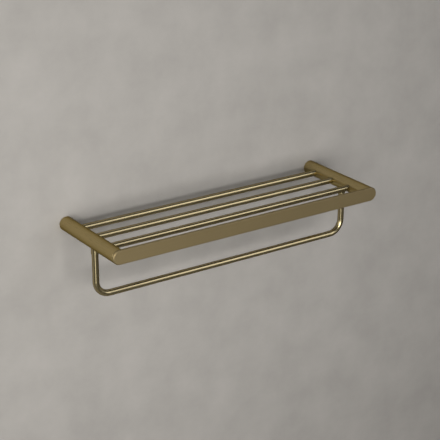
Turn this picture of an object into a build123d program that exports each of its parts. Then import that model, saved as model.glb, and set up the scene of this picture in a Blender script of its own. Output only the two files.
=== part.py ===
"""Wall-mounted towel shelf with a hanging rail under it.

Millimetres. The origin lies on the wall, midway between the two arms and at the height of
their axes. X runs along the wall, +Z is up, and the shelf stands out of the wall along -Y.
"""
import os
from math import radians, tan

from build123d import *

os.makedirs("parts", exist_ok=True)

# Overall sizes
overall_width = 600.0
overall_depth = 200.0

# Arms: round tubes that run straight from the wall to the front plate
arm_dia = 28.0
arm_wall = 2.5
arm_edge = 0.3

# Front plate: flat bar with round ends, flush with the arms
plate_thick = 5.0
plate_front_round = 1.8
plate_back_edge = 0.25

# Shelf rods: three round bars between the arms
rod_dia = 12.5
first_rod_depth = 36.0
rod_pitch = 54.0
rod_count = 3
rod_reach = 3.0
rod_edge = 0.4

# Towel rail: one round bar bent into a U, hung under the arms
rail_dia = 12.5
rail_depth = 108.0
rail_drop = 108.0
rail_bend = 28.0
rail_edge = 0.5
rail_above_axis = 3.0

# Collars round the tops of the rail's legs
collar_wall = 1.25
collar_length = 10.0
collar_edge = 0.5

# Blocks inside the arms that hold the rail's legs
block_behind_leg = 2.7
block_before_leg = 10.8

# Cups: posts screwed to the wall, and spigots screwed to the plate
cup_length = 14.0
cup_base = 5.0
cup_wall = 2.0
cup_edge = 0.4

# Wall fixings: two countersunk screws in plugs for each post
wall_screw_dia = 3.5
wall_screw_head = 7.0
wall_screw_head_room = 0.4
wall_screw_length = 30.0
wall_screw_tip = 5.0
countersink_angle = 90.0
cross_span = 3.6
cross_slot = 0.9
cross_depth = 1.8
plug_dia = 5.0
plug_length = 25.0
plug_groove_start = 8.0
plug_groove_deep = 0.3
plug_groove_wide = 2.0
plug_groove_pitch = 4.0
plug_groove_count = 4

# Button-head screws that hold the spigots to the plate
plate_screw_dia = 5.0
plate_screw_length = 8.0
plate_screw_head_dia = 9.5
plate_screw_head_height = 2.7
plate_screw_head_slope = 30.0
plate_screw_key = 3.0
plate_hole_spare = 0.5

# Grub screws: one under each end of each arm, and one in each block
grub_dia = 4.0
grub_length = 4.0
grub_recess = 0.3
grub_key = 2.0
lock_dia = 6.0
lock_length = 8.0
lock_key = 3.0
key_share = 0.5

# Clearances on the radius, and between faces that only come close
slip_fit = 0.1
thread_fit = 0.05
end_gap = 0.3

# Places that follow from the sizes
arm_radius = arm_dia / 2
arm_bore = arm_radius - arm_wall
arm_x = overall_width / 2 - arm_radius
plate_back = overall_depth - plate_thick
rod_depths = [first_rod_depth + rod_pitch * n for n in range(rod_count)]
rod_half_length = arm_x - arm_bore + rod_reach
grub_depth = cup_base + (cup_length - cup_base) / 2
grub_depths = [grub_depth, plate_back - grub_depth]
cup_radius = arm_bore - slip_fit
wall_screw_height = cup_radius - cup_wall - wall_screw_head_room - wall_screw_head / 2
screw_heights = [-wall_screw_height, wall_screw_height]
sides = {"left": -1, "right": 1}


def across(x, outward):
    """Plane at x that faces along X; its own x runs away from the wall."""
    return Plane(origin=(x, 0, 0), x_dir=(0, -1, 0), z_dir=(outward, 0, 0))


def below(x, z=0.0):
    """Plane at height z that faces down; its own x runs away from the wall."""
    return Plane(origin=(x, 0, z), x_dir=(0, -1, 0), z_dir=(0, 0, -1))


def cut_rod_pockets(sign):
    """Clear the rods' ends, which reach into the arm's bore, out of the piece being made."""
    with BuildSketch(across(sign * (rod_half_length + end_gap), -sign)) as pockets:
        with Locations([(depth, 0) for depth in rod_depths]):
            Circle(rod_dia / 2 + slip_fit)
    extrude(pockets.sketch, amount=arm_dia, mode=Mode.SUBTRACT)


# Arms
for side, sign in sides.items():
    with BuildPart() as arm:
        with BuildSketch(Plane.XZ):
            with Locations((sign * arm_x, 0)):
                Circle(arm_radius)
                Circle(arm_bore, mode=Mode.SUBTRACT)
        extrude(amount=plate_back)
        chamfer(arm.faces().sort_by(Axis.Y)[-1].edges(), arm_edge)
        # The rods go through the inner wall of the tube only
        with BuildSketch(across(sign * arm_x, -sign)):
            with Locations([(depth, 0) for depth in rod_depths]):
                Circle(rod_dia / 2 + slip_fit)
        extrude(amount=arm_dia, mode=Mode.SUBTRACT)
        # Underneath are the hole for the rail's leg and the tapped holes of the grub screws
        with BuildSketch(below(sign * arm_x)):
            with Locations((rail_depth, 0)):
                Circle(rail_dia / 2 + slip_fit)
            with Locations([(depth, 0) for depth in grub_depths]):
                Circle(grub_dia / 2 + thread_fit)
        extrude(amount=arm_dia, mode=Mode.SUBTRACT)
    arm.part.label = f"arm_{side}"
    export_step(arm.part, f"parts/arm_{side}.step")

# Front plate, with a blind tapped hole behind each arm
with BuildPart() as front_plate:
    with BuildSketch(Plane.XZ.offset(plate_back)):
        SlotOverall(overall_width, arm_dia)
    extrude(amount=plate_thick)
    fillet(front_plate.faces().sort_by(Axis.Y)[0].edges(), plate_front_round)
    chamfer(front_plate.faces().sort_by(Axis.Y)[-1].edges(), plate_back_edge)
    with BuildSketch(Plane.XZ.offset(plate_back)):
        with Locations((-arm_x, 0), (arm_x, 0)):
            Circle(plate_screw_dia / 2 + thread_fit)
    extrude(amount=plate_screw_length - cup_base + plate_hole_spare, mode=Mode.SUBTRACT)
front_plate.part.label = "front_plate"
export_step(front_plate.part, "parts/front_plate.step")

# Shelf rods
for place, depth in zip(("rear", "middle", "front"), rod_depths):
    with BuildPart() as rod:
        with BuildSketch(Plane.YZ.offset(-rod_half_length)):
            with Locations((-depth, 0)):
                Circle(rod_dia / 2)
        extrude(amount=2 * rod_half_length)
        chamfer(rod.edges(), rod_edge)
    rod.part.label = f"{place}_rod"
    export_step(rod.part, f"parts/{place}_rod.step")

# Towel rail
with BuildPart() as towel_rail:
    with BuildLine(Plane.XZ.offset(rail_depth)) as rail_path:
        FilletPolyline(
            (-arm_x, rail_above_axis),
            (-arm_x, -rail_drop),
            (arm_x, -rail_drop),
            (arm_x, rail_above_axis),
            radius=rail_bend,
        )
    with BuildSketch(Plane(origin=rail_path.line @ 0, z_dir=rail_path.line % 0)):
        Circle(rail_dia / 2)
    sweep(path=rail_path.line)
    chamfer(towel_rail.faces().sort_by(Axis.Z)[-2:].edges(), rail_edge)
towel_rail.part.label = "towel_rail"
export_step(towel_rail.part, "parts/towel_rail.step")

# Collars, coped at the top to the round of the arm
for side, sign in sides.items():
    with BuildPart() as collar:
        with BuildSketch(below(sign * arm_x)):
            with Locations((rail_depth, 0)):
                Circle(rail_dia / 2 + collar_wall)
                Circle(rail_dia / 2 + slip_fit, mode=Mode.SUBTRACT)
        extrude(amount=arm_radius + collar_length)
        rim = collar.faces().sort_by(Axis.Z)[0].edges().sort_by(SortBy.LENGTH)[-1]
        chamfer(rim, collar_edge)
        with BuildSketch(Plane.XZ):
            with Locations((sign * arm_x, 0)):
                Circle(arm_radius + thread_fit)
        extrude(amount=overall_depth, mode=Mode.SUBTRACT)
    collar.part.label = f"rail_collar_{side}"
    export_step(collar.part, f"parts/rail_collar_{side}.step")

# Rail blocks, bored from below for the leg and along the arm for its lock screw
leg_front = rail_depth + rail_dia / 2
block_start = rail_depth - rail_dia / 2 - block_behind_leg
block_length = rail_dia + block_behind_leg + block_before_leg
for side, sign in sides.items():
    with BuildPart() as block:
        with BuildSketch(Plane.XZ.offset(block_start)):
            with Locations((sign * arm_x, 0)):
                Circle(cup_radius)
        extrude(amount=block_length)
        chamfer(block.faces().filter_by(GeomType.PLANE).edges(), cup_edge)
        with BuildSketch(below(sign * arm_x, rail_above_axis + end_gap)):
            with Locations((rail_depth, 0)):
                Circle(rail_dia / 2 + slip_fit)
        extrude(amount=arm_dia, mode=Mode.SUBTRACT)
        with BuildSketch(Plane.XZ.offset(rail_depth)):
            with Locations((sign * arm_x, -rail_above_axis)):
                Circle(lock_dia / 2 + thread_fit)
        extrude(amount=block_length, mode=Mode.SUBTRACT)
        cut_rod_pockets(sign)
    block.part.label = f"rail_block_{side}"
    export_step(block.part, f"parts/rail_block_{side}.step")

# Lock screws, one against each leg
with BuildPart() as rail_lock_screws:
    with BuildSketch(Plane.XZ.offset(leg_front)):
        with Locations(*[(sign * arm_x, -rail_above_axis) for sign in sides.values()]):
            Circle(lock_dia / 2)
    extrude(amount=lock_length)
    with BuildSketch(Plane.XZ.offset(leg_front + lock_length)):
        with Locations(*[(sign * arm_x, -rail_above_axis) for sign in sides.values()]):
            RegularPolygon(lock_key / 2, 6, major_radius=False)
    extrude(amount=-lock_length * key_share, mode=Mode.SUBTRACT)
rail_lock_screws.part.label = "rail_lock_screws"
export_step(rail_lock_screws.part, "parts/rail_lock_screws.step")


def make_cup(sign, start, facing, centre_hole):
    """Round cup in the end of an arm: its base at start, its rim towards facing.

    facing is 1 where the cup opens away from the wall and -1 where it opens towards it.
    """
    side_x = sign * arm_x
    with BuildPart() as cup:
        with BuildSketch(Plane.XZ.offset(start)):
            with Locations((side_x, 0)):
                Circle(cup_radius)
        extrude(amount=facing * cup_length)
        with BuildSketch(Plane.XZ.offset(start + facing * cup_base)):
            with Locations((side_x, 0)):
                Circle(cup_radius - cup_wall)
        extrude(amount=facing * cup_length, mode=Mode.SUBTRACT)
        rim = cup.faces().sort_by(Axis.Y)[0 if facing > 0 else -1]
        chamfer(rim.edges().sort_by(SortBy.LENGTH)[-1], cup_edge)
        with BuildSketch(below(side_x)):
            with Locations((start + facing * grub_depth, 0)):
                Circle(grub_dia / 2 + slip_fit)
        extrude(amount=arm_dia, mode=Mode.SUBTRACT)
        cut_rod_pockets(sign)
        if centre_hole:
            with BuildSketch(Plane.XZ.offset(start)):
                with Locations((side_x, 0)):
                    Circle(plate_screw_dia / 2 + slip_fit)
            extrude(amount=facing * cup_base, mode=Mode.SUBTRACT)
        else:
            with Locations(Plane.XZ.offset(start + cup_base)):
                with Locations(*[(side_x, height) for height in screw_heights]):
                    CounterSinkHole(
                        wall_screw_dia / 2 + slip_fit,
                        wall_screw_head / 2 + slip_fit,
                        depth=cup_base,
                        counter_sink_angle=countersink_angle,
                    )
    return cup


# Wall posts and plate spigots
for side, sign in sides.items():
    post = make_cup(sign, 0.0, 1, False)
    post.part.label = f"wall_post_{side}"
    export_step(post.part, f"parts/wall_post_{side}.step")
    spigot = make_cup(sign, plate_back, -1, True)
    spigot.part.label = f"plate_spigot_{side}"
    export_step(spigot.part, f"parts/plate_spigot_{side}.step")

# Screws that hold the spigots to the plate
screw_seat = plate_back - cup_base
with BuildPart() as plate_screws:
    with BuildSketch(Plane.XZ.offset(screw_seat)):
        with Locations((-arm_x, 0), (arm_x, 0)):
            Circle(plate_screw_dia / 2)
    extrude(amount=plate_screw_length)
    with BuildSketch(Plane.XZ.offset(screw_seat)):
        with Locations((-arm_x, 0), (arm_x, 0)):
            Circle(plate_screw_head_dia / 2)
    extrude(amount=-plate_screw_head_height, taper=plate_screw_head_slope)
    with BuildSketch(Plane.XZ.offset(screw_seat - plate_screw_head_height)):
        with Locations((-arm_x, 0), (arm_x, 0)):
            RegularPolygon(plate_screw_key / 2, 6, major_radius=False)
    extrude(amount=plate_screw_head_height, mode=Mode.SUBTRACT)
plate_screws.part.label = "plate_screws"
export_step(plate_screws.part, "parts/plate_screws.step")

# Grub screws that lock the arms on the posts and spigots
grub_places = [(sign * arm_x, -depth) for sign in sides.values() for depth in grub_depths]
with BuildPart() as arm_grub_screws:
    with BuildSketch(Plane.XY.offset(-arm_radius + grub_recess)):
        with Locations(*grub_places):
            Circle(grub_dia / 2)
    extrude(amount=grub_length)
    with BuildSketch(Plane.XY.offset(-arm_radius + grub_recess)):
        with Locations(*grub_places):
            RegularPolygon(grub_key / 2, 6, major_radius=False)
    extrude(amount=grub_length * key_share, mode=Mode.SUBTRACT)
arm_grub_screws.part.label = "arm_grub_screws"
export_step(arm_grub_screws.part, "parts/arm_grub_screws.step")

# Wall screws: flush heads in the posts, shanks in the plugs
shank_radius = wall_screw_dia / 2
head_radius = wall_screw_head / 2
head_cone = (head_radius - shank_radius) / tan(radians(countersink_angle / 2))
screw_places = [(sign * arm_x, height) for sign in sides.values() for height in screw_heights]
with BuildPart() as wall_screws:
    for x, height in screw_places:
        with BuildSketch(Plane(origin=(x, 0, height), x_dir=(1, 0, 0), z_dir=(0, 0, 1))):
            with BuildLine():
                Polyline(
                    (0, -cup_base),
                    (head_radius, -cup_base),
                    (shank_radius, -cup_base + head_cone),
                    (shank_radius, wall_screw_length - cup_base - wall_screw_tip),
                    (0, wall_screw_length - cup_base),
                    close=True,
                )
            make_face()
        revolve(axis=Axis((x, 0, height), (0, 1, 0)))
    # Cross recess in each head
    with BuildSketch(Plane.XZ.offset(cup_base)):
        with Locations(*screw_places):
            Rectangle(cross_span, cross_slot)
            Rectangle(cross_slot, cross_span)
    extrude(amount=-cross_depth, mode=Mode.SUBTRACT)
wall_screws.part.label = "wall_screws"
export_step(wall_screws.part, "parts/wall_screws.step")

# Wall plugs, with gripping grooves along the outside
groove_places = [plug_groove_start + plug_groove_pitch * n for n in range(plug_groove_count)]
with BuildPart() as wall_plugs:
    with BuildSketch(Plane.XZ):
        with Locations(*screw_places):
            Circle(plug_dia / 2)
            Circle(shank_radius + thread_fit, mode=Mode.SUBTRACT)
    extrude(amount=-plug_length)
    for place in groove_places:
        with BuildSketch(Plane.XZ.offset(-place)):
            with Locations(*screw_places):
                Circle(plug_dia / 2)
                Circle(plug_dia / 2 - plug_groove_deep, mode=Mode.SUBTRACT)
        extrude(amount=-plug_groove_wide, mode=Mode.SUBTRACT)
wall_plugs.part.label = "wall_plugs"
export_step(wall_plugs.part, "parts/wall_plugs.step")
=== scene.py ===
from math import cos, pi, radians, sin, sqrt

import bmesh
import bpy
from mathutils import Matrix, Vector


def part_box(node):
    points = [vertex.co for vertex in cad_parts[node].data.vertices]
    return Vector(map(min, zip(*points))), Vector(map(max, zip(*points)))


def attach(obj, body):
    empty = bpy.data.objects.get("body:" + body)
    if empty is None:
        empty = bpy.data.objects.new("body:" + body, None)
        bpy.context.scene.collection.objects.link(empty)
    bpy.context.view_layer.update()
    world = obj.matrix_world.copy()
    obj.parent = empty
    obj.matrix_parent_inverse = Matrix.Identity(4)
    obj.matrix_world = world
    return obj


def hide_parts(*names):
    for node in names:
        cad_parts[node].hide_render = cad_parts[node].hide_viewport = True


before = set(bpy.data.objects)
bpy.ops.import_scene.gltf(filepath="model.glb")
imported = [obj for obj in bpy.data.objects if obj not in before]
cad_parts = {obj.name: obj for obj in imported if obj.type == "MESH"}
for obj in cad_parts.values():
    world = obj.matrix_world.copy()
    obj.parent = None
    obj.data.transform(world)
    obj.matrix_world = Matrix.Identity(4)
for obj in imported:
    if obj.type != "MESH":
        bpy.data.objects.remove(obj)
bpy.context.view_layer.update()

mm = 0.001
sharpAngle = 30.0  # degrees: a piece is smooth except over edges that turn more than this
holeSteps, smallSteps = 64, 32  # sides of a hole for a bar and of a smaller one for a screw
noiseLow, noiseHigh = 0.3, 0.7  # nearly all of a noise lies between these
mixFirst, mixSecond, mixColour = 6, 7, 2  # a colour mix keeps its two colours and its result at these places
scene = bpy.context.scene
xAxis, yAxis, zAxis = Vector((1, 0, 0)), Vector((0, 1, 0)), Vector((0, 0, 1))
sides = {"left": -1, "right": 1}


# Colours and nodes

# One sRGB hex value as the linear colour that the shaders want
def linearColour(hexText):
    parts = [int(hexText[k:k + 2], 16) / 255 for k in (1, 3, 5)]
    return [p / 12.92 if p <= 0.04045 else ((p + 0.055) / 1.055) ** 2.4 for p in parts] + [1.0]


# Adds a node with its settings; inputs go by name or place, and each is a value or another node's output
def addNode(tree, kind, inputs=None, **settings):
    node = tree.nodes.new(kind)
    for name, value in settings.items():
        setattr(node, name, value)
    for name, value in (inputs or {}).items():
        if isinstance(value, bpy.types.NodeSocket):
            tree.links.new(value, node.inputs[name])
        else:
            node.inputs[name].default_value = value
    return node


# A new material and its node tree, still empty
def startMaterial(name):
    material = bpy.data.materials.new(name)
    material.use_nodes = True
    material.node_tree.nodes.clear()
    return material, material.node_tree


def endMaterial(tree, shader):
    addNode(tree, "ShaderNodeOutputMaterial", {"Surface": shader.outputs[0]})


# A shader whose roughness and bump follow a pattern between low and high. Its tone follows the same
# pattern or another one, and more holds the shader's other inputs.
def patternShader(tree, look, pattern, metallic, tonePattern=None, low=0.0, high=1.0, more=None):
    tone = addNode(tree, "ShaderNodeMix", {
        "Factor": tonePattern or pattern,
        mixFirst: linearColour(look["dark"]), mixSecond: linearColour(look["light"]),
    }, data_type="RGBA")
    rough = addNode(tree, "ShaderNodeMapRange", {
        "Value": pattern,
        "From Min": low, "From Max": high,
        "To Min": look["roughness"] - look["roughnessSpread"],
        "To Max": look["roughness"] + look["roughnessSpread"],
    })
    bump = addNode(tree, "ShaderNodeBump", {
        "Height": pattern,
        "Strength": look["bump"], "Distance": look["bumpDepth"] * mm,
    })
    return addNode(tree, "ShaderNodeBsdfPrincipled", {
        "Base Color": tone.outputs[mixColour],
        "Metallic": metallic,
        "Roughness": rough.outputs[0],
        "Normal": bump.outputs[0],
        **(more or {}),
    })


# Brushing marks: noise that is narrow across the strokes and long along them.
# The grain attribute holds metres across, across and along each piece, and z is along.
def strokeNoise(tree, look):
    grain = addNode(tree, "ShaderNodeAttribute", attribute_name="grain")
    across, along = 1 / (look["strokeWidth"] * mm), 1 / (look["strokeLength"] * mm)
    stretched = addNode(tree, "ShaderNodeMapping", {
        "Vector": grain.outputs["Vector"], "Scale": (across, across, along),
    })
    return addNode(tree, "ShaderNodeTexNoise", {
        "Vector": stretched.outputs[0], "Scale": 1.0, "Detail": 3.0, "Roughness": 0.6,
    })


# Brushed bronze: brass rubbed with a nylon wheel, then coated in a vacuum with a dark bronze film.
# It gives the eye a quiet satin with no clear mirror image, and long strokes a shade apart.
brushedBronze = {
    "dark": "#b1a073", "light": "#bfac7c", "roughness": 0.3, "roughnessSpread": 0.04, "anisotropy": 0.3,
    "edgeTint": "#8f8878",
    "strokeWidth": 0.9, "strokeLength": 45.0,  # real strokes are 0.1 mm wide, too fine to show here
    "bump": 0.05, "bumpDepth": 0.02,
    "cloudSize": 60.0, "cloudShare": 0.25,
}

# Long-line brushed bronze: the front plate is rubbed flat on a belt, with straight strokes from end to end.
# It gives the eye a softer satin than the arms have, spread further up and down than along.
# The film is the same as on the arms; the plate's darker colours are painted shade, for the dimmer light it
# mirrors.
beltBronzePaintedShade = dict(
    brushedBronze, dark="#9a8a67", light="#a6966f", roughness=0.6, anisotropy=0.5, strokeLength=90.0,
)

# Drawn bronze: the same film on drawn bar, which keeps a tighter and smoother skin than the brushed pieces.
# It gives the eye one crisp bright line along each bar between dark sides.
drawnBronze = {
    "dark": "#ab9e7b", "light": "#b9ac86", "roughness": 0.23, "roughnessSpread": 0.015, "anisotropy": 0.0,
    "edgeTint": "#574729",
    "strokeWidth": 0.6, "strokeLength": 60.0,
    "bump": 0.012, "bumpDepth": 0.01,
    "cloudSize": 80.0, "cloudShare": 0.2,
}


def makeBronze(name, look):
    material, tree = startMaterial(name)
    strokes = strokeNoise(tree, look)
    lay = addNode(tree, "ShaderNodeAttribute", attribute_name="lay")
    place = addNode(tree, "ShaderNodeTexCoord")
    clouds = addNode(tree, "ShaderNodeTexNoise", {
        "Vector": place.outputs["Object"], "Scale": 1 / (look["cloudSize"] * mm), "Detail": 2.0,
    })
    blend = addNode(tree, "ShaderNodeMix", {
        "Factor": look["cloudShare"],
        "A": strokes.outputs["Fac"],
        "B": clouds.outputs["Fac"],
    }, data_type="FLOAT")
    more = {
        "Specular Tint": linearColour(look["edgeTint"]),
        "Anisotropic": look["anisotropy"],
        "Anisotropic Rotation": 0.25,  # the sheen spreads across the strokes
        "Tangent": lay.outputs["Vector"],
    }
    shader = patternShader(
        tree, look, strokes.outputs["Fac"], 1.0, blend.outputs["Result"], noiseLow, noiseHigh, more,
    )
    endMaterial(tree, shader)
    return material


# Turned brass: bare metal off a lathe, hidden inside the arms.
# It gives the eye fine rings round the axis and a yellow that the coated pieces don't have.
turnedBrass = {
    "dark": "#b48f4a", "light": "#d2ae66", "roughness": 0.3, "roughnessSpread": 0.06,
    "ringWidth": 0.35, "bump": 0.2, "bumpDepth": 0.02,
}

# Stainless steel: cold-formed and tumbled screws.
# It gives the eye a cool grey with a slight frost from the tumbling.
tumbledSteel = {
    "dark": "#8f9194", "light": "#b3b5b8", "roughness": 0.32, "roughnessSpread": 0.08,
    "speckSize": 0.4, "bump": 0.1, "bumpDepth": 0.01,
}

# Nylon: moulded wall plugs.
# It gives the eye a soft grey plastic sheen with a faint texture from the mould.
mouldedNylon = {
    "dark": "#5d6062", "light": "#6b6e70", "roughness": 0.5, "roughnessSpread": 0.05,
    "speckSize": 0.5, "bump": 0.1, "bumpDepth": 0.02,
}


# A speckled material for small moulded or tumbled pieces
def makeSpeckled(name, look, metallic):
    material, tree = startMaterial(name)
    place = addNode(tree, "ShaderNodeTexCoord")
    specks = addNode(tree, "ShaderNodeTexNoise", {
        "Vector": place.outputs["Object"], "Scale": 1 / (look["speckSize"] * mm), "Detail": 3.0,
    })
    endMaterial(tree, patternShader(tree, look, specks.outputs["Fac"], metallic))
    return material


# Lathe rings round an axis along Y through (x, 0, 0): they depend on the depth and on the radius
def makeTurnedBrass(name, look, axisX):
    material, tree = startMaterial(name)
    place = addNode(tree, "ShaderNodeTexCoord")
    centred = addNode(tree, "ShaderNodeMapping", {
        "Vector": place.outputs["Object"], "Location": (-axisX, 0, 0),
    })
    flat = addNode(tree, "ShaderNodeVectorMath", {
        0: centred.outputs[0], 1: (1.0, 0.0, 1.0),
    }, operation="MULTIPLY")
    radius = addNode(tree, "ShaderNodeVectorMath", {0: flat.outputs[0]}, operation="LENGTH")
    parts = addNode(tree, "ShaderNodeSeparateXYZ", {0: centred.outputs[0]})
    ringPlace = addNode(tree, "ShaderNodeMath", {
        0: radius.outputs["Value"], 1: parts.outputs["Y"],
    }, operation="ADD")
    rings = addNode(tree, "ShaderNodeTexNoise", {
        "W": ringPlace.outputs[0], "Scale": 1 / (look["ringWidth"] * mm), "Detail": 2.0,
    }, noise_dimensions="1D")
    endMaterial(tree, patternShader(tree, look, rings.outputs["Fac"], 1.0))
    return material


brushed = makeBronze("Brushed bronze film on brass", brushedBronze)
# The plate gets the arms' bronze with darker colours painted in as shade
beltPaintedShade = makeBronze("Belt brushed bronze film on brass", beltBronzePaintedShade)
drawn = makeBronze("Drawn bar with bronze film", drawnBronze)
steel = makeSpeckled("Tumbled stainless steel", tumbledSteel, 1.0)
nylon = makeSpeckled("Moulded nylon", mouldedNylon, 0.0)
print("materials made")


# Meshes

# Quads from each ring of points to the next; loop joins the last ring to the first
def skinRings(rings, loop=False, startCap=False, endCap=False):
    count = len(rings[0])
    points = [p for ring in rings for p in ring]
    faces = []
    for k in range(len(rings) if loop else len(rings) - 1):
        a, b = k * count, (k + 1) % len(rings) * count
        faces += [(a + i, a + (i + 1) % count, b + (i + 1) % count, b + i) for i in range(count)]
    if startCap:
        faces.append(tuple(reversed(range(count))))
    if endCap:
        faces.append(tuple(range(len(points) - count, len(points))))
    return points, faces


# Rings of a turned shape: the profile holds (distance along the axis, radius) pairs
def turnedRings(profile, origin, axis, steps):
    first = axis.orthogonal().normalized()
    second = axis.cross(first)
    turns = [2 * pi * k / steps for k in range(steps)]
    return [
        [origin + axis * s + (first * cos(t) + second * sin(t)) * r for t in turns]
        for s, r in profile
    ]


# The grain and the lay of a straight piece: metres across, across and along it, and its direction
def straightGrain(axis):
    first = axis.orthogonal().normalized()
    second = axis.cross(first)
    return (lambda p: (p.dot(first), p.dot(second), p.dot(axis))), (lambda p: axis)


# A mesh object from points and faces
def makeObject(name, points, faces):
    mesh = bpy.data.meshes.new(name)
    mesh.from_pydata([tuple(p) for p in points], [], faces)
    shape = bmesh.new()
    shape.from_mesh(mesh)
    bmesh.ops.recalc_face_normals(shape, faces=shape.faces)
    shape.to_mesh(mesh)
    shape.free()
    piece = bpy.data.objects.new(name, mesh)
    scene.collection.objects.link(piece)
    smoothMesh(mesh)
    return piece


def smoothMesh(mesh):
    shape = bmesh.new()
    shape.from_mesh(mesh)
    for face in shape.faces:
        face.smooth = True
    for edge in shape.edges:
        edge.smooth = edge.calc_face_angle(0.0) < radians(sharpAngle)
    shape.to_mesh(mesh)
    shape.free()


# Cuts each cutter out of the piece and removes the cutters
def cutAway(piece, cutters):
    for cutter in cutters:
        hole = piece.modifiers.new("cut", "BOOLEAN")
        hole.operation = "DIFFERENCE"
        hole.solver = "EXACT"
        hole.object = cutter
    depsgraph = bpy.context.evaluated_depsgraph_get()
    cut = bpy.data.meshes.new_from_object(piece.evaluated_get(depsgraph))
    piece.modifiers.clear()
    old = piece.data
    piece.data = cut
    bpy.data.meshes.remove(old)
    for cutter in cutters:
        bpy.data.objects.remove(cutter)
    smoothMesh(cut)


# Stores the grain and the lay of the strokes, sets the finish and hands the piece to the frame.
# Both are worked out from a point of the piece, or come as lists with an entry for each point.
def finishPiece(piece, node, material, slotName, grain=None, lay=None):
    mesh = piece.data
    for name, source in (("grain", grain), ("lay", lay)):
        if source is None:
            continue
        store = mesh.attributes.new(name, "FLOAT_VECTOR", "POINT")
        for k, vertex in enumerate(mesh.vertices):
            store.data[k].vector = source[k] if isinstance(source, list) else source(vertex.co)
    mesh.materials.clear()
    mesh.materials.append(material)
    even = piece.modifiers.new("even", "WEIGHTED_NORMAL")
    even.keep_sharp = True
    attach(piece, "root")
    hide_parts(node)


def roundCutter(origin, axis, radius, length, steps=holeSteps):
    rings = turnedRings([(0.0, radius), (length, radius)], origin, axis, steps)
    return makeObject("cutter", *skinRings(rings, startCap=True, endCap=True))


# Arms: tubes from the wall to the plate
arm = {
    "wall": 2.5, "wallEdge": 0.15, "frontEdge": 0.3, "steps": 128, "edgeSteps": 4,
    "rodClearance": 0.1, "legClearance": 0.1, "grubRadius": 2.05, "grubDepth": 9.5,
}

rodNodes = ("rear_rod", "middle_rod", "front_rod")
rodBoxes = {node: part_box(node) for node in rodNodes}
railLow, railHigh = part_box("towel_rail")
armLow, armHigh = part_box("arm_right")
armRadius = (armHigh.z - armLow.z) / 2
armX = (armLow.x + armHigh.x) / 2
armLength = armHigh.y - armLow.y
rodLow, rodHigh = rodBoxes["rear_rod"]
rodRadius = (rodHigh.z - rodLow.z) / 2
railRadius = (railHigh.y - railLow.y) / 2
railDepth = -(railHigh.y + railLow.y) / 2


# Points of a rounded edge, as (distance, radius) pairs from one end of its arc to the other
def roundEdge(centreS, centreR, radius, startTurn, endTurn, steps):
    turns = [radians(startTurn + (endTurn - startTurn) * k / steps) for k in range(steps + 1)]
    return [(centreS + radius * cos(t), centreR + radius * sin(t)) for t in turns]


def makeArm(side):
    sign = sides[side]
    origin = Vector((sign * armX, 0, 0))
    bore = armRadius - arm["wall"] * mm
    wallEdge, frontEdge = arm["wallEdge"] * mm, arm["frontEdge"] * mm
    profile = [(0.0, bore)]
    profile += roundEdge(wallEdge, armRadius - wallEdge, wallEdge, 180, 90, arm["edgeSteps"])
    profile += roundEdge(armLength - frontEdge, armRadius - frontEdge, frontEdge, 90, 0, arm["edgeSteps"])
    profile += [(armLength, bore)]
    points, faces = skinRings(turnedRings(profile, origin, -yAxis, arm["steps"]), loop=True)
    piece = makeObject(f"arm_{side}_tube", points, faces)
    cutters = []
    for low, high in rodBoxes.values():
        start = Vector((sign * armX, (low.y + high.y) / 2, 0))
        cutters.append(roundCutter(start, -sign * xAxis, rodRadius + arm["rodClearance"] * mm, 2 * armRadius))
    start = Vector((sign * armX, -railDepth, 0))
    cutters.append(roundCutter(start, -zAxis, railRadius + arm["legClearance"] * mm, 2 * armRadius))
    for depth in (arm["grubDepth"] * mm, armLength - arm["grubDepth"] * mm):
        start = Vector((sign * armX, -depth, 0))
        cutters.append(roundCutter(start, -zAxis, arm["grubRadius"] * mm, 2 * armRadius, smallSteps))
    cutAway(piece, cutters)
    finishPiece(piece, f"arm_{side}", brushed, "satin_bronze", *straightGrain(yAxis))


for side in sides:
    makeArm(side)
print("arms made")


# Front plate: flat bar with round ends, its front edge softened all the way round
plate = {
    "softEdge": 1.8, "edgeShape": 1.6,  # an edge shape of 1 is a round and 2 is a flat bevel
    "backEdge": 0.25, "endSteps": 48, "edgeSteps": 12, "screwRadius": 2.55, "screwDepth": 3.5,
    "cutterLead": 1.0,  # how far behind the plate the cutters start
    "faceDepth": 0.001,  # points no deeper than this belong to the front face
}
plateLow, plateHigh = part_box("front_plate")
plateRadius = (plateHigh.z - plateLow.z) / 2
plateCentre = (plateHigh.x - plateLow.x) / 2 - plateRadius  # where the round ends have their centres


# Outline of the plate drawn in by inset, at depth y
def plateOutline(inset, y):
    radius = plateRadius - inset
    turns = [-pi / 2 + pi * k / plate["endSteps"] for k in range(plate["endSteps"] + 1)]
    right = [Vector((plateCentre + radius * cos(t), y, radius * sin(t))) for t in turns]
    left = [Vector((-p.x, y, -p.z)) for p in right]
    return right + left


# The face is rubbed from end to end, and its edges along the outline
def plateLay(point):
    beyond = abs(point.x) - plateCentre
    if beyond <= 0 or point.y < plateLow.y + plate["faceDepth"] * mm:
        return xAxis
    outward = Vector((beyond if point.x > 0 else -beyond, 0, point.z))
    return outward.normalized().cross(yAxis)


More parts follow.
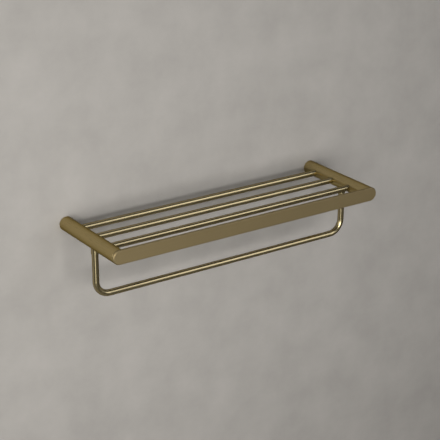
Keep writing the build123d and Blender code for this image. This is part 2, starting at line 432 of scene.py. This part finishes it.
def makePlate():
    edge, softEdge = plate["backEdge"] * mm, plate["softEdge"] * mm
    rings = [plateOutline(edge, plateHigh.y), plateOutline(0.0, plateHigh.y - edge)]
    for k in range(plate["edgeSteps"] + 1):
        turn = pi / 2 * k / plate["edgeSteps"]
        inset, back = (softEdge * (1 - part ** plate["edgeShape"]) for part in (cos(turn), sin(turn)))
        rings.append(plateOutline(inset, plateLow.y + back))
    points, faces = skinRings(rings)
    # Both flat faces: quads from the lower to the upper half of each round end, and one quad between the ends
    count = plate["endSteps"] + 1
    for start in (0, len(points) - 2 * count):
        for k in range(count // 2):
            a, b = start + k, start + 2 * count - 1 - k
            faces.append((a, a + 1, start + count - 2 - k, start + count - 1 - k))
            faces.append((b, b - 1, start + count + 1 + k, start + count + k))
        faces.append((start, start + count - 1, start + count, start + 2 * count - 1))
    piece = makeObject("front_plate_bar", points, faces)
    cutters = []
    lead = plate["cutterLead"] * mm
    for sign in sides.values():
        mouth = Vector((sign * armX, plateHigh.y + lead, 0))
        depth = plate["screwDepth"] * mm + lead
        cutters.append(roundCutter(mouth, -yAxis, plate["screwRadius"] * mm, depth, smallSteps))
    cutAway(piece, cutters)
    finishPiece(piece, "front_plate", beltPaintedShade, "satin_bronze", straightGrain(xAxis)[0], plateLay)


makePlate()
print("plate made")


# Shelf rods
rod = {"edge": 0.4, "steps": 64, "edgeSteps": 3}


def makeRod(node):
    low, high = rodBoxes[node]
    centre = Vector((low.x, (low.y + high.y) / 2, 0))
    length, edge = high.x - low.x, rod["edge"] * mm
    profile = roundEdge(edge, rodRadius - edge, edge, 180, 90, rod["edgeSteps"])
    profile += roundEdge(length - edge, rodRadius - edge, edge, 90, 0, rod["edgeSteps"])
    rings = turnedRings(profile, centre, xAxis, rod["steps"])
    piece = makeObject(f"{node}_bar", *skinRings(rings, startCap=True, endCap=True))
    finishPiece(piece, node, drawn, "polished_bronze", *straightGrain(xAxis))


for node in rodNodes:
    makeRod(node)
print("rods made")


# Towel rail: one bar bent into a U
rail = {"bend": 28.0, "edge": 0.5, "steps": 64, "bendSteps": 28, "edgeSteps": 3}


# Centre line of the rail as (point, direction) pairs, down the left leg, across and up the right
def railLine():
    bend = rail["bend"] * mm
    bottom = railLow.z + railRadius
    line = [(Vector((-armX, -railDepth, railHigh.z)), -zAxis)]
    for sign in sides.values():
        centre = Vector((sign * (armX - bend), -railDepth, bottom + bend))
        for k in range(rail["bendSteps"] + 1):
            turn = pi / 2 * k / rail["bendSteps"]
            if sign < 0:
                out, along = Vector((-cos(turn), 0, -sin(turn))), Vector((sin(turn), 0, -cos(turn)))
            else:
                out, along = Vector((sin(turn), 0, -cos(turn))), Vector((cos(turn), 0, sin(turn)))
            line.append((centre + out * bend, along))
    line.append((Vector((armX, -railDepth, railHigh.z)), zAxis))
    return line


def makeRail():
    line = railLine()
    edge = rail["edge"] * mm
    turns = [2 * pi * k / rail["steps"] for k in range(rail["steps"])]
    endArc = roundEdge(edge, railRadius - edge, edge, 180, 90, rail["edgeSteps"])
    (first, firstWay), (last, lastWay) = line[0], line[-1]
    stations = [(first + firstWay * s, firstWay, r) for s, r in endArc]  # (point, direction, radius)
    stations += [(p, d, railRadius) for p, d in line[1:-1]]
    stations += [(last - lastWay * s, lastWay, r) for s, r in reversed(endArc)]
    rings, grain, lay = [], [], []
    travelled, before = 0.0, stations[0][0]
    for point, direction, radius in stations:
        travelled += (point - before).length
        before = point
        inward = direction.cross(yAxis)
        rings.append([point + (inward * cos(t) + yAxis * sin(t)) * radius for t in turns])
        grain += [(radius * cos(t), radius * sin(t), travelled) for t in turns]
        lay += [direction] * len(turns)
    piece = makeObject("towel_rail_bar", *skinRings(rings, startCap=True, endCap=True))
    finishPiece(piece, "towel_rail", drawn, "polished_bronze", grain, lay)


makeRail()
print("rail made")


# Collars: short sleeves round the tops of the legs, cut at the top to the round of the arm
collar = {"clearance": 0.1, "edge": 0.5, "seat": 0.05, "steps": 96, "edgeSteps": 4}


def makeCollar(side):
    sign = sides[side]
    low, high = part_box(f"rail_collar_{side}")
    outer, inner = (high.x - low.x) / 2, railRadius + collar["clearance"] * mm
    edge, seat = collar["edge"] * mm, armRadius + collar["seat"] * mm
    turns = [2 * pi * k / collar["steps"] for k in range(collar["steps"])]

    # One ring of points at radius r: at height z, or where z is None, under the round of the arm
    def ring(r, z):
        points = []
        for t in turns:
            height = z if z is not None else -sqrt(seat ** 2 - (r * cos(t)) ** 2)
            points.append(Vector((sign * armX + r * cos(t), -railDepth + r * sin(t), height)))
        return points

    rings = [ring(inner, None), ring(inner, low.z)]
    for k in range(collar["edgeSteps"] + 1):
        turn = pi / 2 * k / collar["edgeSteps"]
        rings.append(ring(outer - edge * (1 - sin(turn)), low.z + edge * (1 - cos(turn))))
    rings.append(ring(outer, None))
    piece = makeObject(f"rail_collar_{side}_sleeve", *skinRings(rings, loop=True))
    finishPiece(piece, f"rail_collar_{side}", drawn, "polished_bronze", *straightGrain(zAxis))


for side in sides:
    makeCollar(side)
print("collars made")


# Screws and plugs

# How deep a thread is cut at one turn of the piece: 0 on its crest and 1 in its root
def threadCut(turns, thread):
    offset = turns % 1.0
    fromCrest = 2 * min(offset, 1 - offset)
    slope = (fromCrest - thread["crest"]) / (1 - thread["crest"] - thread["root"])
    return min(max(slope, 0.0), 1.0)


# Rings of a turned shape with a screw thread: the profile holds (distance, radius, depth of thread)
# stations, and long threaded stretches are divided so that each turn of the thread has its own rings
def threadedRings(profile, thread, origin, axis):
    first = axis.orthogonal().normalized()
    second = axis.cross(first)
    pitch, steps = thread["pitch"] * mm, thread["steps"]
    stations = [profile[0]]
    for before, after in zip(profile, profile[1:]):
        threaded = before[2] > 0 or after[2] > 0
        parts = max(1, round((after[0] - before[0]) / pitch * thread["ringsEachTurn"])) if threaded else 1
        for k in range(1, parts + 1):
            share = k / parts
            stations.append(tuple(b + (a - b) * share for b, a in zip(before, after)))
    rings = []
    for s, r, depth in stations:
        ring = []
        for k in range(steps):
            turn = 2 * pi * k / steps
            radius = r - depth * threadCut(s / pitch - k / steps, thread)
            ring.append(origin + axis * s + (first * cos(turn) + second * sin(turn)) * radius)
        rings.append(ring)
    return rings


recess = {"lead": 0.2, "point": 0.25}  # the run outside the screw, and the point as a share of the depth


# A cutter that runs from start along the axis to a point, its outline given flat and shrunk by taper
def recessCutter(outline, start, axis, across, depth, taper):
    up = axis.cross(across)
    rings = []
    for s, scale in ((-recess["lead"] * mm, 1.0), (0.0, 1.0), (depth, taper)):
        rings.append([start + axis * s + (across * u + up * v) * scale for u, v in outline])
    tip = start + axis * (depth + recess["point"] * depth * taper)
    points, faces = skinRings(rings, startCap=True)
    last = len(points) - len(outline)
    points.append(tip)
    faces += [(last + k, last + (k + 1) % len(outline), len(points) - 1) for k in range(len(outline))]
    return makeObject("cutter", points, faces)


def hexOutline(key):
    radius = key / 2 / cos(pi / 6) * mm
    return [(radius * cos(pi / 3 * k), radius * sin(pi / 3 * k)) for k in range(6)]


def crossOutline(span, slot):
    a, b = span / 2 * mm, slot / 2 * mm
    quarter = [(a, -b), (a, b), (b, b)]
    outline = []
    for turn in range(4):
        outline += quarter
        quarter = [(-v, u) for u, v in quarter]
    return outline


# Copies of one shape at several places, as one piece that stands in for a node.
# The shape comes made at the first place.
def placeCopies(name, shape, places, node, material, slotName):
    points = [v.co.copy() for v in shape.data.vertices]
    corners = [tuple(face.vertices) for face in shape.data.polygons]
    bpy.data.objects.remove(shape)
    allPoints, allFaces = [], []
    for place in places:
        shift = place - places[0]
        start = len(allPoints)
        allPoints += [p + shift for p in points]
        allFaces += [tuple(start + k for k in face) for face in corners]
    piece = makeObject(name, allPoints, allFaces)
    finishPiece(piece, node, material, slotName)


# Wall screws: countersunk, with a cross recess and a coarse thread that stops short of the head
wallScrew = {
    "head": 7.0, "headBevel": 0.15, "rim": 0.3, "rimDrop": 0.1,
    "shank": 3.5, "length": 30.0, "threadDepth": 0.5, "neck": 0.1, "plain": 7.0, "runIn": 0.8,
    "tip": 5.0, "point": 0.2, "pointRadius": 0.35, "pointThread": 0.15, "endRadius": 0.05,
    "span": 3.6, "slot": 0.9, "recess": 1.5, "recessTaper": 0.5,
}
woodThread = {"pitch": 1.6, "crest": 0.08, "root": 0.45, "steps": 32, "ringsEachTurn": 10}
screwLow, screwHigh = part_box("wall_screws")
screwHeight = screwHigh.z - wallScrew["head"] / 2 * mm
wallPlaces = [
    Vector((sign * armX, screwLow.y, z)) for sign in sides.values() for z in (-screwHeight, screwHeight)
]


def makeWallScrews():
    size = {part: wallScrew[part] * mm for part in wallScrew}
    head, shank, length = size["head"] / 2, size["shank"] / 2, size["length"]
    depth, plain, bevel = size["threadDepth"], size["plain"], size["headBevel"]
    core = shank - depth
    neck = core + size["neck"]
    profile = [
        (0.0, head - bevel, 0.0), (bevel, head, 0.0), (size["rim"], head - size["rimDrop"], 0.0),
        (head - core, neck, 0.0), (plain, neck, 0.0), (plain, core, 0.0),
        (plain + size["runIn"], shank, depth), (length - size["tip"], shank, depth),
        (length - size["point"], size["pointRadius"], size["pointThread"]),
        (length, size["endRadius"], 0.0),
    ]
    rings = threadedRings(profile, woodThread, wallPlaces[0], yAxis)
    screw = makeObject("wall_screw", *skinRings(rings, startCap=True, endCap=True))
    outline = crossOutline(wallScrew["span"], wallScrew["slot"])
    taper = wallScrew["recessTaper"]
    cutAway(screw, [recessCutter(outline, wallPlaces[0], yAxis, xAxis, size["recess"], taper)])
    placeCopies("wall_screw_set", screw, wallPlaces, "wall_screws", steel, "stainless")


makeWallScrews()


# Wall plugs: nylon sleeves with saw teeth outside and two slits, so that the screw spreads them
plug = {
    "radius": 2.5, "bore": 1.8, "length": 25.0, "mouth": 0.3, "rim": 0.1, "tip": 1.0, "tipRadius": 2.2,
    "teeth": 4, "toothStart": 8.0, "toothPitch": 4.0, "toothWide": 2.0, "toothDeep": 0.3, "toothBack": 0.1,
    "slit": 0.7, "slitStarts": (6.5, 12.5), "slitRun": 1.0, "steps": 64,
}


def makeWallPlugs():
    origin = Vector((wallPlaces[0].x, 0, wallPlaces[0].z))
    radius, rim = plug["radius"], plug["rim"]
    profile = [(0.0, plug["bore"] + plug["mouth"]), (0.0, radius - rim), (rim, radius)]
    for k in range(plug["teeth"]):
        start = plug["toothStart"] + plug["toothPitch"] * k
        end = start + plug["toothWide"]
        profile += [(start, radius), (end - plug["toothBack"], radius - plug["toothDeep"]), (end, radius)]
    profile += [(plug["length"] - plug["tip"], radius), (plug["length"], plug["tipRadius"])]
    profile += [(plug["length"], plug["bore"]), (plug["mouth"], plug["bore"])]
    profile = [(s * mm, r * mm) for s, r in profile]
    rings = turnedRings(profile, origin, yAxis, plug["steps"])
    sleeve = makeObject("wall_plug", *skinRings(rings, loop=True))
    slits = []
    half, wide = plug["slit"] / 2 * mm, 2 * radius * mm
    outline = [(-half, -wide), (half, -wide), (half, wide), (-half, wide)]
    for start, thin in zip(plug["slitStarts"], (zAxis, xAxis)):
        other = yAxis.cross(thin)
        rings = []
        for s in (start * mm, (plug["length"] + plug["slitRun"]) * mm):
            rings.append([origin + yAxis * s + thin * u + other * v for u, v in outline])
        slits.append(makeObject("cutter", *skinRings(rings, startCap=True, endCap=True)))
    cutAway(sleeve, slits)
    plugPlaces = [Vector((p.x, 0, p.z)) for p in wallPlaces]
    placeCopies("wall_plug_set", sleeve, plugPlaces, "wall_plugs", nylon, "grey_nylon")


makeWallPlugs()


# Metric screws: a thread with a chamfer at both ends, a hexagon socket and for one kind a button head
grubScrew = {"radius": 2.0, "length": 4.0, "bevel": 0.35, "threadDepth": 0.38, "key": 2.0, "socket": 1.7}
grubThread = {"pitch": 0.7, "crest": 0.125, "root": 0.2, "steps": 32, "ringsEachTurn": 8}
lockScrew = {"radius": 3.0, "length": 8.0, "bevel": 0.5, "threadDepth": 0.55, "key": 3.0, "socket": 3.3}
lockThread = dict(grubThread, pitch=1.0)
plateScrew = {
    "radius": 2.5, "length": 8.0, "bevel": 0.4, "threadDepth": 0.44, "key": 3.0, "socket": 1.8,
    "head": 4.744, "headHeight": 2.7, "headTop": 3.2, "headSteps": 8,
}
plateThread = dict(grubThread, pitch=0.8)


# Profile of a metric thread from its socket end to its far end
def metricProfile(screw, start=0.0):
    radius, length, bevel = screw["radius"], screw["length"], screw["bevel"]
    depth = screw["threadDepth"]
    end = start + length
    profile = [
        (start, radius - bevel, 0.0), (start + bevel, radius, depth),
        (end - bevel, radius, depth), (end, radius - bevel, 0.0),
    ]
    return [tuple(v * mm for v in station) for station in profile]


# Socket screws of one kind: the axis points from the socket into the screw
def makeSocketScrews(name, screw, thread, profile, places, axis, node):
    across = axis.orthogonal().normalized()
    rings = threadedRings(profile, thread, places[0], axis)
    shape = makeObject(name, *skinRings(rings, startCap=True, endCap=True))
    socket, taper = screw["socket"] * mm, 1.0
    cutAway(shape, [recessCutter(hexOutline(screw["key"]), places[0], axis, across, socket, taper)])
    placeCopies(f"{name}_set", shape, places, node, steel, "stainless")


def makeMetricScrews():
    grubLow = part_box("arm_grub_screws")[0]
    depths = (arm["grubDepth"] * mm, armLength - arm["grubDepth"] * mm)
    places = [Vector((sign * armX, -depth, grubLow.z)) for sign in sides.values() for depth in depths]
    makeSocketScrews("arm_grub_screw", grubScrew, grubThread, metricProfile(grubScrew), places, zAxis,
                     "arm_grub_screws")
    lockLow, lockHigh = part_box("rail_lock_screws")
    places = [Vector((sign * armX, lockLow.y, (lockLow.z + lockHigh.z) / 2)) for sign in sides.values()]
    makeSocketScrews("rail_lock_screw", lockScrew, lockThread, metricProfile(lockScrew), places, yAxis,
                     "rail_lock_screws")
    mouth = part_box("plate_screws")[1].y
    head, height, top = (plateScrew[k] * mm for k in ("head", "headHeight", "headTop"))
    profile = [(0.0, top, 0.0)]
    for k in range(1, plateScrew["headSteps"] + 1):
        turn = pi / 2 * k / plateScrew["headSteps"]
        profile.append((height * (1 - cos(turn)), top + (head - top) * sin(turn), 0.0))
    profile += [(height, (plateScrew["radius"] - plateScrew["threadDepth"]) * mm, 0.0)]
    profile += metricProfile(plateScrew, plateScrew["headHeight"])[1:]
    places = [Vector((sign * armX, mouth, 0)) for sign in sides.values()]
    makeSocketScrews("plate_screw", plateScrew, plateThread, profile, places, -yAxis, "plate_screws")


makeMetricScrews()
print("screws and plugs made")


# Posts, spigots and rail blocks keep their CAD shapes
for side, sign in sides.items():
    turned = makeTurnedBrass(f"Turned brass {side}", turnedBrass, sign * armX)
    for node in (f"wall_post_{side}", f"plate_spigot_{side}", f"rail_block_{side}"):
        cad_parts[node].data.materials[0] = turned
print("inner pieces finished")


# Stage: a plain wall behind the shelf, seen from the room only, and a plain pale floor far below.
# The wall stops no ray shorter than contact, so that from behind, the arm ends that stand on it are lit.
# Gap, contact and clouds are in millimetres, the rest in metres.
stage = {
    "wallColour": "#a7a4a0", "cloudSize": 100.0, "cloudTone": 0.08, "wallGap": 0.2, "contact": 0.6,
    "wallReach": 3.5, "floorColour": "#d6d3cd", "floorDrop": 1.6, "floorReach": 14.0,
}


def makeWallPaint():
    material, tree = startMaterial("Matt wall paint")
    place = addNode(tree, "ShaderNodeTexCoord")
    clouds = addNode(tree, "ShaderNodeTexNoise", {
        "Vector": place.outputs["Object"], "Scale": 1 / (stage["cloudSize"] * mm),
        "Detail": 6.0, "Roughness": 0.6,
    })
    spread = addNode(tree, "ShaderNodeMapRange", {
        "Value": clouds.outputs["Fac"], "From Min": noiseLow, "From Max": noiseHigh,
    })
    colour = linearColour(stage["wallColour"])[:3]
    dark = [c * (1 - stage["cloudTone"]) for c in colour] + [1.0]
    light = [c * (1 + stage["cloudTone"]) for c in colour] + [1.0]
    tone = addNode(tree, "ShaderNodeMix", {
        "Factor": spread.outputs[0], mixFirst: dark, mixSecond: light,
    }, data_type="RGBA")
    paint = addNode(tree, "ShaderNodeBsdfPrincipled", {
        "Base Color": tone.outputs[mixColour], "Roughness": 0.9,
    })
    clear = addNode(tree, "ShaderNodeBsdfTransparent")
    sideSeen = addNode(tree, "ShaderNodeNewGeometry")
    path = addNode(tree, "ShaderNodeLightPath")
    touching = addNode(tree, "ShaderNodeMath", {
        0: path.outputs["Ray Length"], 1: stage["contact"] * mm,
    }, operation="LESS_THAN")
    seeThrough = addNode(tree, "ShaderNodeMath", {
        0: sideSeen.outputs["Backfacing"], 1: touching.outputs[0],
    }, operation="MAXIMUM")
    both = addNode(tree, "ShaderNodeMixShader", {
        0: seeThrough.outputs[0], 1: paint.outputs[0], 2: clear.outputs[0],
    })
    endMaterial(tree, both)
    return material


def makeFloorPaint():
    material, tree = startMaterial("Matt floor paint")
    paint = addNode(tree, "ShaderNodeBsdfPrincipled", {
        "Base Color": linearColour(stage["floorColour"]), "Roughness": 0.8,
    })
    endMaterial(tree, paint)
    return material


def makeStage():
    gap, drop = stage["wallGap"] * mm, stage["floorDrop"]
    side, far = stage["wallReach"], stage["floorReach"]
    wallPoints = [(-side, gap, -drop), (side, gap, -drop), (side, gap, side), (-side, gap, side)]
    floorPoints = [(-far, -far, -drop), (far, -far, -drop), (far, far, -drop), (-far, far, -drop)]
    for name, points, material in (
        ("stage_wall", wallPoints, makeWallPaint()),
        ("stage_floor", floorPoints, makeFloorPaint()),
    ):
        mesh = bpy.data.meshes.new(name)
        mesh.from_pydata(points, [], [(0, 1, 2, 3)])
        mesh.materials.append(material)
        plane = bpy.data.objects.new(name, mesh)
        scene.collection.objects.link(plane)


makeStage()


# Lamps, all of them softboxes with a grid of lampSpread degrees, which keeps their light off the floor.
# Turn is degrees to the right of straight out from the wall, lift degrees above the shelf, and aim the
# place on the wall that the lamp faces, along X and up.
lamps = {
    "key softbox": {
        "turn": -21, "lift": 4, "aim": (-0.85, 0.1), "size": (2.4, 1.2), "watts": 24.5, "colour": "#fffdfa",
    },
    "left fill": {
        "turn": -62, "lift": 14, "aim": (-0.4, 0), "size": (3.0, 2.4), "watts": 10, "colour": "#fffdf8",
    },
    "low reflector": {
        "turn": -33, "lift": -20, "aim": (0, 0), "size": (0.7, 0.9), "watts": 1.15, "colour": "#fffdf8",
    },
    "right softbox": {
        "turn": 34, "lift": 22, "aim": (0, 0), "size": (1.4, 3.0), "watts": 6.0, "colour": "#fafaff",
    },
}
lampReach, lampSpread = 3.4, 90

# Wide lamps straight above the far floor: their grids keep them off the shelf, and the floor looks pale
floorWash = {
    "places": ((6.8, -6.8), (-10.5, -2.0)), "height": 3.0,
    "size": (6.0, 6.0), "spread": 80, "watts": 80, "colour": "#fffdfa",
}


def addSoftbox(name, lamp, place, beam, spread):
    light = bpy.data.lights.new(name, "AREA")
    light.shape = "RECTANGLE"
    light.size, light.size_y = lamp["size"]
    light.spread = radians(spread)
    light.energy = lamp["watts"]
    light.color = linearColour(lamp["colour"])[:3]
    holder = bpy.data.objects.new(name, light)
    holder.location = place
    holder.rotation_euler = beam.to_track_quat("-Z", "Y").to_euler()
    scene.collection.objects.link(holder)


def makeLamps():
    for name, lamp in lamps.items():
        turn, lift = radians(lamp["turn"]), radians(lamp["lift"])
        place = Vector((sin(turn) * cos(lift), -cos(turn) * cos(lift), sin(lift))) * lampReach
        beam = Vector((lamp["aim"][0], 0, lamp["aim"][1])) - place
        addSoftbox(name, lamp, place, beam, lampSpread)
    for x, y in floorWash["places"]:
        addSoftbox("floor wash", floorWash, (x, y, floorWash["height"]), -zAxis, floorWash["spread"])


makeLamps()

# The room round the stage: dim in front and above, where the bars mirror it, pale at both sides and behind.
# Each share says how much a direction's part along X, Y or Z counts, and the room goes from dim to pale
# while their sum goes from dimTo to paleFrom.
room = {
    "dim": "#424241", "pale": "#a3a19d", "sideShare": 0.6, "backShare": 0.8, "heightShare": -0.4,
    "dimTo": 0.1, "paleFrom": 0.5,
}


def makeRoom():
    world = bpy.data.worlds.new("Studio room")
    scene.world = world
    world.use_nodes = True
    tree = world.node_tree
    tree.nodes.clear()
    place = addNode(tree, "ShaderNodeTexCoord")
    signed = addNode(tree, "ShaderNodeSeparateXYZ", {0: place.outputs["Generated"]})
    unsigned = addNode(tree, "ShaderNodeVectorMath", {0: place.outputs["Generated"]}, operation="ABSOLUTE")
    sizes = addNode(tree, "ShaderNodeSeparateXYZ", {0: unsigned.outputs["Vector"]})
    total = 0.0
    for part, partShare in (
        (sizes.outputs["X"], room["sideShare"]),
        (signed.outputs["Y"], room["backShare"]),
        (sizes.outputs["Z"], room["heightShare"]),
    ):
        total = addNode(tree, "ShaderNodeMath", {
            0: part, 1: partShare, 2: total,
        }, operation="MULTIPLY_ADD").outputs[0]
    share = addNode(tree, "ShaderNodeMapRange", {
        "Value": total, "From Min": room["dimTo"], "From Max": room["paleFrom"],
    })
    tone = addNode(tree, "ShaderNodeMix", {
        "Factor": share.outputs[0],
        mixFirst: linearColour(room["dim"]), mixSecond: linearColour(room["pale"]),
    }, data_type="RGBA")
    glow = addNode(tree, "ShaderNodeBackground", {"Color": tone.outputs[mixColour], "Strength": 1.0})
    addNode(tree, "ShaderNodeOutputWorld", {"Surface": glow.outputs[0]})


makeRoom()
scene.view_settings.view_transform = "Standard"
print("stage and lamps made")

# Camera: high and to the left, at the photograph's angle
camera = {"place": (-1.4143, -2.1806, 0.9638), "turn": 34.09, "tilt": 21.43, "lens": 114.64, "sensor": 36.0}


def makeCamera():
    view = bpy.data.cameras.new("camera")
    view.lens, view.sensor_width = camera["lens"], camera["sensor"]
    holder = bpy.data.objects.new("camera", view)
    holder.location = camera["place"]
    holder.rotation_euler = (radians(90 - camera["tilt"]), 0, -radians(camera["turn"]))
    scene.collection.objects.link(holder)
    scene.camera = holder


makeCamera()
print("camera made")
